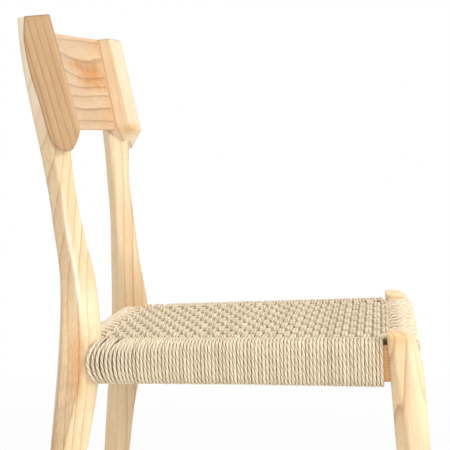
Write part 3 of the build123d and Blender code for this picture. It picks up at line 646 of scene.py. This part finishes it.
# ---- cord paths
WEFT_PAIRS, WARP_PAIRS = 40, 13
WARP_SPREAD_FRONT, WARP_SPREAD_REAR = 374.0, 300.0  # from the first front-to-back pair to the last
CORD_RADIUS = 2.55
LAY = 30.0  # length of one full twist
STEP = 2.4  # between the rings of a cord's mesh
LOOP_START = 4.0  # a cord leaves its nail this far above the middle of the rail
WEAVE = 4.3  # rise and fall of a side-to-side cord about the middle of the weave
SIDE_FRONT = np.array([*FRONT_LEG, FRONT_RAIL_Z - SIDE_RAIL_DROP])  # ends of a side rail's axis
SIDE_REAR = np.array([*REAR_LEG, REAR_RAIL_Z - SIDE_RAIL_DROP])
FIRST_TOP, LAST_TOP = -202.9, 159.5  # first and last cord where they leave a side rail's top
FIELD_FORWARD = 9.0  # the first rows are pulled this far towards the front rail
REAR_BULGE = 12.5  # the last cords swing back by this half-way down the side
ON_TOP = 420.0  # above this height a cord runs over the rails, not round them


def cord_level(y):
    """Height of the middle of a cord that lies on top of the seat."""
    return SEAT_HEIGHT - SEAT_SLOPE * (y - FRONT_RAIL_Y) - CORD / 2


def side_axis(y):
    """x and z of the side rail's axis at y, on the +X side."""
    run = SIDE_REAR - SIDE_FRONT
    share = (y - SIDE_FRONT[1]) / run[1]
    return SIDE_FRONT[0] + run[0] * share, SIDE_FRONT[2] + run[2] * share


def rail_loop(half_width, low, high, radius, start_height):
    """Path of a cord round a rail's section, as (across, up), from the inner face down and round to the top.

    It starts on the inner face at start_height, goes down, under, up the outer face and over to
    the inner top corner, with quarter circles at the corners. Inner is negative across.
    """
    a = np.radians(np.linspace(0, 90, 9))
    arc = np.stack([np.cos(a), np.sin(a)], -1) * radius
    turn = np.stack([-arc[:, 1], arc[:, 0]], -1)
    inner, outer = -half_width + radius, half_width - radius
    return np.concatenate(
        [
            [[-half_width, start_height]],
            [inner, low + radius] - arc,
            [outer, low + radius] - turn,
            [outer, high - radius] + arc,
        ]
    )


def resample(path, step):
    """The same path with points an even step apart, measured along it."""
    length = np.concatenate([[0], np.cumsum(np.linalg.norm(np.diff(path, axis=0), axis=1))])
    even = np.linspace(0, length[-1], max(int(length[-1] / step), 2) + 1)
    return np.stack([np.interp(even, length, path[:, axis]) for axis in range(3)], -1), even


def smoothed(path):
    """The path after each inner point is drawn to the mean of itself and its neighbours, twice."""
    for _ in range(2):
        path = np.concatenate([path[:1], 0.25 * path[:-2] + 0.5 * path[1:-1] + 0.25 * path[2:], path[-1:]])
    return path


def wandering(path, amount):
    """The path with a slow, small wander, as in hand work: random shifts at 12 points, joined evenly."""
    count = len(path)
    knots = np.linspace(0, count - 1, 12)
    drift = [np.interp(np.arange(count), knots, rng.normal(0, amount, 12)) for _ in range(3)]
    return path + np.stack(drift, -1)


def cord_object(name, strands, reference, sides=12):
    """Twisted cords as one mesh.

    strands is a list of (points, lengths, phase, tone, depth, flanks). Round each point P the ring is
    P + r (N cos a + B sin a), with a = column / sides - length / lay + phase in turns and
    r = R (0.91 + 0.11 cos(3 column) - 0.02 cos(6 column)), so the mesh's own columns wind with three
    round plies. B is near the reference direction. The mark sunk is painted shade: the depth
    in the weave, or the share in flanks on the two sides that lie against the next cords, where
    that is more.
    """
    column = np.arange(sides) * 2 * np.pi / sides
    radius = CORD_RADIUS * (0.91 + 0.11 * np.cos(3 * column) - 0.02 * np.cos(6 * column))
    parts, base = [], 0
    for points, lengths, phase, tone, depth, flanks in strands:
        tangent = np.gradient(points, axis=0)
        tangent /= np.linalg.norm(tangent, axis=1, keepdims=True)
        normal = np.cross(reference, tangent)
        normal /= np.linalg.norm(normal, axis=1, keepdims=True)
        binormal = np.cross(tangent, normal)
        angle = column[None] - (2 * np.pi * lengths / LAY)[:, None] + phase
        ring = (
            points[:, None]
            + (radius * np.cos(angle))[..., None] * normal[:, None]
            + (radius * np.sin(angle))[..., None] * binormal[:, None]
        )
        count = len(points)
        r, c = np.meshgrid(np.arange(count - 1), np.arange(sides), indexing="ij")
        u, v = lengths * MM, lambda k: k * 3 / sides + 0.5
        uv = np.stack([u[r], v(c), u[r], v(c + 1), u[r + 1], v(c + 1), u[r + 1], v(c)], -1)
        aside = np.sin(angle)
        beside = np.where(aside < 0, *flanks) * ramp(np.abs(aside), 0.62, 1.0)
        sunk = np.maximum(beside, np.reshape(depth, (-1, 1)))
        faces = skin_faces(count, sides) + base
        parts.append((ring.reshape(-1, 3), faces, uv.reshape(-1, 2), np.full(count * sides, tone), sunk.ravel()))
        base += count * sides
    points, faces, uv, tone, sunk = (np.concatenate(part) for part in zip(*parts))
    return new_object(name, points, faces, uv, tone=tone, sunk=sunk)


number = np.arange(2 * WEFT_PAIRS)
from_rear = number[::-1]
top_rows = np.interp(number, [0, number[-1]], [FIRST_TOP, LAST_TOP])
field_rows = top_rows - FIELD_FORWARD * np.exp(-number / 6.0)
pair_rows = field_rows.reshape(-1, 2).mean(1)
bulges = REAR_BULGE * np.exp(-from_rear / 7.0)
# over the rear of a side rail the cords stand in groups: a gap opens before the third and before the
# sixth from the rear, and those in front of a gap are pushed forward, less and less
grouped = -4.9 * (from_rear >= 2) * np.exp(-from_rear / 26.0)
grouped -= 5.8 * (from_rear >= 5) * np.exp(-(from_rear - 5) / 14.0)
GROUP_X, GROUP_SPREAD = 183.0, 21.0  # how far from the middle the gaps lie, and half their length


def group_shift(n, x):
    """How far cord n lies forward of its even place at x: its own push times exp(-((|x| - 183) / 21)^4)."""
    return grouped[n] * np.exp(-(((np.abs(x) - GROUP_X) / GROUP_SPREAD) ** 4))


def warp_count(x, y):
    """Place among the front-to-back pairs at (x, y), counted from 0 at the -X side."""
    share = (y - FRONT_RAIL_Y) / (REAR_RAIL_Y - FRONT_RAIL_Y)
    spread = WARP_SPREAD_FRONT + (WARP_SPREAD_REAR - WARP_SPREAD_FRONT) * share
    return (x / spread + 0.5) * (WARP_PAIRS - 1)


def weft_strand(n):
    """One cord of a side-to-side pair, from the nail inside the right rail to that inside the left rail.

    Over the field its height is cord_level - WEAVE (1 - s), with
    s = tanh(1.1 cos(pi (place among the warp + row))) / tanh(1.1), so it lies up over every second
    front-to-back pair and down under the others; beyond the last pair s goes to 1.
    """
    y_top, row = top_rows[n], n // 2
    axis_x, axis_z = side_axis(y_top)
    high = cord_level(y_top) - axis_z
    low = -WRAP_TALL - 2.2 * ramp(y_top, 0, -200)  # the turns get looser towards the front
    loop = rail_loop(WRAP_HALF, low, high, WRAP_ROUNDING, LOOP_START)
    loop = resample(np.pad(loop, ((0, 0), (0, 1))), 3.0)[0][:, :2]
    # half-way down a turn swings back by its bulge, and its foot lies up to 2 mm further forward
    down = (high - loop[:, 1]) / (high - low)
    y_loop = y_top + bulges[n] * 4 * down * (1 - down) - (2.0 - bulges[n] * 0.2) * down
    y_loop += group_shift(n, axis_x + loop[:, 0]) * ramp(loop[:, 1], high - 9, high)
    left_side = np.stack([axis_x + loop[:, 0], y_loop, axis_z + loop[:, 1]], -1)
    right_side = left_side * np.array([-1, 1, 1])
    reach = axis_x + RAIL_THICKNESS / 2 - RAIL_ROUNDING
    x = np.linspace(-reach, reach, 361)[1:-1]
    y = y_top + (field_rows[n] - y_top) * eased(ramp(np.abs(x), reach, reach - 58)) + group_shift(n, x)
    count = warp_count(x, y)
    s = np.tanh(1.1 * np.cos(np.pi * (count + row))) / np.tanh(1.1)
    last = (WARP_PAIRS - 1) / 2
    beyond = ramp(np.abs(count - last), last, last + 0.85)
    s += (1 - s) * eased(beyond)
    y -= (n % 2 - 0.5) * 0.75 * (1 - beyond)
    z = cord_level(y) - WEAVE + WEAVE * s
    return np.concatenate([right_side, np.stack([x, y, z], -1), left_side[::-1]])


# painted shade on the two flanks of a cord, where they lie against the next cords, on a side rail and elsewhere
SIDE_FLANKS, FAINT_FLANKS = (0.75, 0.75), (0.3, 0.3)
field_strands, left_strands, right_strands = [], [], []
for n in number:
    path, lengths = resample(smoothed(weft_strand(n)), STEP)
    path = wandering(path, 0.13)
    phase, tone = rng.uniform(0, 2 * np.pi), rng.uniform(0, 1)
    limit = side_axis(top_rows[n])[0] - RAIL_THICKNESS / 2 - CORD
    inside = np.flatnonzero((np.abs(path[:, 0]) < limit) & (path[:, 2] > ON_TOP))
    a, b = inside[0], inside[-1]
    field = path[a : b + 1]
    below = cord_level(field[:, 1]) - field[:, 2]
    # painted shade by how deep the cord lies in the weave
    depth = 0.80 * np.minimum(ramp(below, 0.8, 2 * WEAVE), 0.9)
    # painted shade on the flank that lies against the other cord of its pair
    inside_pair = (0.62, 0.12) if n % 2 == 0 else (0.12, 0.62)
    right_strands.append((path[: a + 1], lengths[: a + 1], phase, tone, 0.0, SIDE_FLANKS))
    field_strands.append((field, lengths[a : b + 1], phase, tone, depth, inside_pair))
    left_strands.append((path[b:], lengths[b:], phase, tone, 0.0, SIDE_FLANKS))


def warp_strand(pair, strand):
    """One cord of a front-to-back pair, from the nail inside the front rail to that inside the rear rail.

    Between the rails it runs low and nearly straight, at cord_level - WEAVE, and gives way
    by 0.7 mm times the cosine of the row count, down where a row passes over it.
    """
    loop = rail_loop(WRAP_HALF, -WRAP_TALL, WRAP_TALL, WRAP_ROUNDING, LOOP_START)
    share = pair / (WARP_PAIRS - 1) - 0.5
    offset = (strand - 0.5) * CORD
    x_front, x_rear = WARP_SPREAD_FRONT * share + offset, WARP_SPREAD_REAR * share + offset
    front = np.stack([np.full(len(loop), x_front), FRONT_RAIL_Y - loop[:, 0], FRONT_RAIL_Z + loop[:, 1]], -1)
    rear = np.stack([np.full(len(loop), x_rear), REAR_RAIL_Y + loop[:, 0], REAR_RAIL_Z + loop[:, 1]], -1)
    y = np.linspace(FRONT_RAIL_Y + 1, REAR_RAIL_Y - 1, 420)
    x = x_front + (x_rear - x_front) * (y - FRONT_RAIL_Y) / (REAR_RAIL_Y - FRONT_RAIL_Y)
    swing = np.cos(np.pi * (np.interp(y, pair_rows, np.arange(WEFT_PAIRS)) + pair))
    first, last = pair_rows[0] - 9, pair_rows[-1] + 9
    free = ramp(y, first, first + 7) * ramp(y, last, last - 7)
    z = cord_level(y) - free * (WEAVE + 0.7 * swing)
    return np.concatenate([front, np.stack([x, y, z], -1), rear[::-1]])


warp_strands = []
for pair in range(WARP_PAIRS):
    for strand in range(2):
        path, lengths = resample(smoothed(warp_strand(pair, strand)), STEP)
        y = path[:, 1]
        in_field = ramp(y, pair_rows[0], pair_rows[0] + 8) * ramp(y, pair_rows[-1], pair_rows[-1] - 8)
        # painted shade deep in the weave
        depth = 0.38 * in_field * (path[:, 2] > ON_TOP)
        path = wandering(path, 0.12)
        warp_strands.append((path, lengths, rng.uniform(0, 2 * np.pi), rng.uniform(0, 1), depth, FAINT_FLANKS))


def rail_turns(rail_y, rail_z, positions):
    """Turns of cord round the front or rear rail at the given x positions, with painted shade on the inner face that
    meets the weave.
    """
    a = np.radians(np.linspace(90, 180, 9))
    corner = np.array([WRAP_ROUNDING - WRAP_HALF, WRAP_TALL - WRAP_ROUNDING])
    last = corner + WRAP_ROUNDING * np.stack([np.cos(a), np.sin(a)], -1)
    once_round = rail_loop(WRAP_HALF, -WRAP_TALL, WRAP_TALL, WRAP_ROUNDING, 0.0)
    loop = np.concatenate([once_round, last, [[-WRAP_HALF, -1.0]]])
    facing = -1 if rail_y < 0 else 1
    turns = []
    for x in positions:
        path = np.stack([np.full(len(loop), x), rail_y + facing * loop[:, 0], rail_z + loop[:, 1]], -1)
        path, lengths = resample(path, STEP)
        inner_face = facing * (path[:, 1] - rail_y) < 1 - WRAP_HALF
        # painted shade on the inner face, below the rail's top
        inner_face_shade = np.minimum(ramp(path[:, 2], rail_z + WRAP_TALL - 3, rail_z + WRAP_TALL - 10), 0.85) * inner_face
        path = wandering(path, 0.15)
        turns.append((path, lengths, rng.uniform(0, 2 * np.pi), rng.uniform(0, 0.5), inner_face_shade, FAINT_FLANKS))
    return turns


def between_pairs(spread, turns, edge):
    """x of the turns that fill a rail between its pairs of warp, and beyond them out to the edge."""
    pairs = spread * (np.arange(WARP_PAIRS) / (WARP_PAIRS - 1) - 0.5)
    gap = pairs[1] - pairs[0]
    inner = (pairs[:-1, None] + CORD + (gap - 2 * CORD) * (np.arange(turns) + 0.5) / turns).ravel()
    beyond = np.arange(pairs[-1] + 1.5 * CORD, edge, CORD)
    return np.concatenate([-beyond[::-1], inner, beyond])


def shade_filler_surface(name, side):
    """A dark filler in the room between a side rail and the turns round it, painted shade that shows between the turns.

    A rounded bar carried along the rail, 1.2 to 1.6 mm outside its faces and just under the turns'
    own middle on top. In front of the first turn it draws back to the rail's upper inner quarter, and
    by the rear leg it is 7.5 mm lower and 30 mm wider inward.
    """
    y = np.array([-213.5, -206.2, -205.7, -100.0, 40.0, 112.0, 120.0, 160.0])
    axis_x, axis_z = side_axis(y)
    covered, by_leg = y > -206, y > 115
    inner = -RAIL_THICKNESS / 2 - 1.6 - 30.0 * by_leg
    outer = np.where(covered, RAIL_THICKNESS / 2 + 1.2, 1.0)
    low = np.where(covered, -RAIL_HEIGHT / 2 - 1.6, 0.0)
    high = cord_level(y) - 0.8 - axis_z - 7.5 * by_leg
    corners = corner_rings((inner, low), (outer, low), (outer, high), (inner, high))
    sections = rounded_polygons(corners, np.full(4, 10.0), 7)
    x, z = axis_x[:, None] + sections[..., 0], axis_z[:, None] + sections[..., 1]
    rings = np.stack([x, np.broadcast_to(y[:, None], x.shape), z], -1)
    return solid_of_sections(name, rings[:, ::-1], side)


# ---- finishes
# pale, middle and dark wood of the legs, the near head, the board and the far head
PALE_ASH = ((0.92, 0.72, 0.46), (0.80, 0.55, 0.29), (0.46, 0.23, 0.08))
TAN_ASH = ((0.60, 0.375, 0.185), (0.48, 0.27, 0.115), (0.20, 0.09, 0.027))
PINK_ASH = ((0.76, 0.55, 0.35), (0.62, 0.39, 0.20), (0.32, 0.15, 0.055))
CREAM_ASH = ((0.92, 0.73, 0.50), (0.84, 0.61, 0.37), (0.46, 0.25, 0.10))
# the last colour is the painted shade in the grooves and deep in the weave
cord = cord_material("paper_cord", (0.94, 0.82, 0.61), (0.68, 0.54, 0.36), (0.13, 0.078, 0.038))
near_leg_wood = wood_material(
    "near_rear_leg_wood", (-0.150, 0.130, 0.2), (0.05, 0.03, 0), colours=PALE_ASH, ring=0.012, lines=0.55,
    patches=[
        # painted shade, warm, on the leg just below the seat
        ((-0.190, 0.186, 0.40), (0.04, 0.016, 0.075), (0.94, 0.66, 0.42), 0.8),
        # painted shade on the lower rear face of the leg
        ((-0.195, 0.226, 0.20), (0.06, 0.026, 0.17), (0.84, 0.68, 0.50), 0.9),
    ],
    edges=1.0,
)
near_head_wood = wood_material(
    "near_head_wood", (-0.26, -0.05, 0.75), (-0.255, 0.0, 0), colours=TAN_ASH, ring=0.0085, wander=0.004, lines=0.75,
    edges=1.0,
)
far_leg_wood = wood_material(
    "far_rear_leg_wood", (0.140, 0.260, 0.2), (-0.02, 0.04, 0), colours=PALE_ASH, ring=0.013, lines=0.6
)
far_head_wood = wood_material(
    "far_head_wood", (0.225, 0.262, 0.80), (-0.21, 0.09, 0), colours=CREAM_ASH, ring=0.012, wander=0.004, lines=0.6,
    # painted shade under the chin, on the inner side
    patches=[((0.190, 0.176, 0.712), (0.032, 0.030, 0.010), (0.93, 0.68, 0.42), 0.9)],
    edges=0.8,
)
near_front_wood = wood_material(
    "near_front_leg_wood", (-0.222, -0.246, 0.3), (0.0, 0.06, 0), colours=PALE_ASH,
    ring=0.0095, wander=0.003, lines=0.65,
    patches=[((-0.240, -0.225, 0.452), (0.04, 0.034, 0.022), (0.92, 0.76, 0.56), 0.8)],
)
far_front_wood = wood_material(
    "far_front_leg_wood", (0.25, -0.20, 0.2), (0.02, 0.02, 0), colours=PALE_ASH, ring=0.012, lines=0.4
)
board_wood = wood_material(
    "back_board_wood", (0.0, 0.235, 0.60), (0, 1.5708, -0.03), colours=PINK_ASH, ring=0.0205, wander=0.030, lines=0.70,
    patches=[
        ((0.118, 0.230, 0.806), (0.085, 0.05, 0.016), (0.88, 0.64, 0.40), 0.95),
        ((0.145, 0.230, 0.790), (0.075, 0.05, 0.030), (0.90, 0.64, 0.37), 1.0),
    ],
    knot=((0.125, 0.230, 0.800), (0.13, 0.08, 0.045), 0.013),
)
# browner at the front ends, which the cord leaves bare
rail_wood = wood_material(
    "rail_wood", (-0.20, 0.0, 0.30), (1.5708, 0, 0.09), colours=PALE_ASH, ring=0.004, lines=0.45,
    patches=[((side * 0.2155, -0.212, 0.415), (0.09, 0.075, 0.09), (0.80, 0.56, 0.34), 1.0) for side in (-1, 1)],
)
steel = plain_finish("nail_steel", (0.55, 0.55, 0.56), 0.35, 1.0, 400.0)
glide = plain_finish("glide_plastic", (0.78, 0.73, 0.64), 0.5, 0.0, 300.0)
# a dark filler, painted shade in the gaps between the turns round the side rails
shade_filler = plain_finish("painted_shade_filler", (0.22, 0.15, 0.09), 0.85, 0.0, 500.0, 0.6)


# ---- the dressed pieces
ALONG_X, ALONG_Y = (1, 0, 0), (0, 1, 0)


def dress_cords(name, strands, reference, node):
    """Cords as one mesh, in place of a solid."""
    finish_piece(cord_object(name, strands, reference), cord, "paper_cord", node)


for side, name, wood, head_wood, chin in (
    (1, "left", far_leg_wood, far_head_wood, 9.0),
    (-1, "right", near_leg_wood, near_head_wood, 2.0),
):
    finish_piece(rear_leg_surface(f"rear_leg_{name}_shaft", side), wood, "pale_wood", f"rear_leg_{name}")
    finish_piece(head_surface(f"rear_leg_{name}_head", side, chin), head_wood, "pale_wood", f"rear_leg_{name}")
for side, name, wood in ((1, "left", far_front_wood), (-1, "right", near_front_wood)):
    finish_piece(front_leg_surface(f"front_leg_{name}_shaft", side), wood, "pale_wood", f"front_leg_{name}")
finish_piece(board_surface("back_board_bent"), board_wood, "pale_wood", "back_board")

dress_cords("seat_cords_front", field_strands[:WEFT_PAIRS], ALONG_Y, "seat_weft")  # half of the weft each
dress_cords("seat_cords_rear", field_strands[WEFT_PAIRS:], ALONG_Y, "seat_weft")
for side, name, strands in ((1, "left", left_strands), (-1, "right", right_strands)):
    dress_cords(f"side_cords_{name}", strands, ALONG_Y, f"cord_wrap_{name}")
    finish_piece(shade_filler_surface(f"side_shade_filler_{name}", side), shade_filler, "paper_cord", f"cord_wrap_{name}")
dress_cords("lengthwise_cords", warp_strands, ALONG_X, "seat_warp")
front_turns = rail_turns(FRONT_RAIL_Y, FRONT_RAIL_Z, between_pairs(WARP_SPREAD_FRONT, 4, 196))
dress_cords("front_rail_cords", front_turns, ALONG_X, "cord_wrap_front")
rear_turns = rail_turns(REAR_RAIL_Y, REAR_RAIL_Z, between_pairs(WARP_SPREAD_REAR, 3, 160))
dress_cords("rear_rail_cords", rear_turns, ALONG_X, "cord_wrap_rear")

# solids that stay as they are
for name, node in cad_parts.items():
    if name.startswith("seat_rail") or name == "back_board_dowels":
        chosen = rail_wood
    elif name.startswith("cord_nails"):
        chosen = steel
    elif name == "foot_glides":
        chosen = glide
    else:
        continue
    for slot in node.material_slots:
        slot.material = chosen


# ---- floor, backdrop and light
def seen_directly(tree):
    """1 for what the camera, mirrors and glass see, 0 for light on its way."""
    path = add_node(tree, "LightPath").outputs
    other = combine(tree, "MAXIMUM", path["Is Glossy Ray"], path["Is Transmission Ray"])
    return combine(tree, "MAXIMUM", path["Is Camera Ray"], other)


FLOOR_REACH = 30000.0
floor_corners = FLOOR_REACH * np.array([[-1, -1, 0], [1, -1, 0], [1, 1, 0], [-1, 1, 0]])
floor = new_object("floor", floor_corners, np.array([[0, 1, 2, 3]]), smooth=False)
floor_material, tree = new_material("floor_pale")
spot = add_node(tree, "TexCoord").outputs["Object"]
away = vector_math(tree, "LENGTH", stretched(tree, spot, (1, 1, 0)))["Value"]
glow = times(tree, seen_directly(tree), remap(tree, away, 0.7, 2.2, 0.85, 1.0))
diffuse = add_node(tree, "BsdfDiffuse", {"Color": (0.88, 0.88, 0.87, 1)}).outputs[0]
white = add_node(tree, "Emission", {"Color": (1, 1, 1, 1), "Strength": 1.0}).outputs[0]
mix = add_node(tree, "MixShader", {0: glow, 1: diffuse, 2: white})
add_node(tree, "OutputMaterial", {"Surface": mix.outputs[0]})
floor.data.materials.append(floor_material)

world = bpy.data.worlds.new("studio")
bpy.context.scene.world = world
world.use_nodes = True
tree = world.node_tree
tree.nodes.clear()
soft = add_node(tree, "Background", {"Color": (1.0, 0.985, 0.96, 1), "Strength": 0.58}).outputs[0]
plain = add_node(tree, "Background", {"Color": (1, 1, 1, 1), "Strength": 1.0}).outputs[0]
mix = add_node(tree, "MixShader", {0: seen_directly(tree), 1: soft, 2: plain})
add_node(tree, "OutputWorld", {"Surface": mix.outputs[0]})


def softbox(name, place, aim, size, power):
    """A square area lamp that faces a point."""
    data = bpy.data.lights.new(name, "AREA")
    data.shape = "SQUARE"
    data.size = size
    data.energy = power
    lamp = bpy.data.objects.new(name, data)
    lamp.location = place
    lamp.rotation_euler = (Vector(aim) - Vector(place)).to_track_quat("-Z", "Y").to_euler()
    bpy.context.scene.collection.objects.link(lamp)


softbox("front_light", (-1.6, -3.0, 2.4), (0, 0, 0.5), 1.8, 66.0)
softbox("top_light", (0.2, 0.2, 3.2), (0, 0, 0.4), 2.2, 24.0)
softbox("camera_side_light", (-3.0, -1.0, 1.5), (0, 0, 0.5), 1.6, 30.0)

bpy.context.scene.view_settings.view_transform = "Standard"
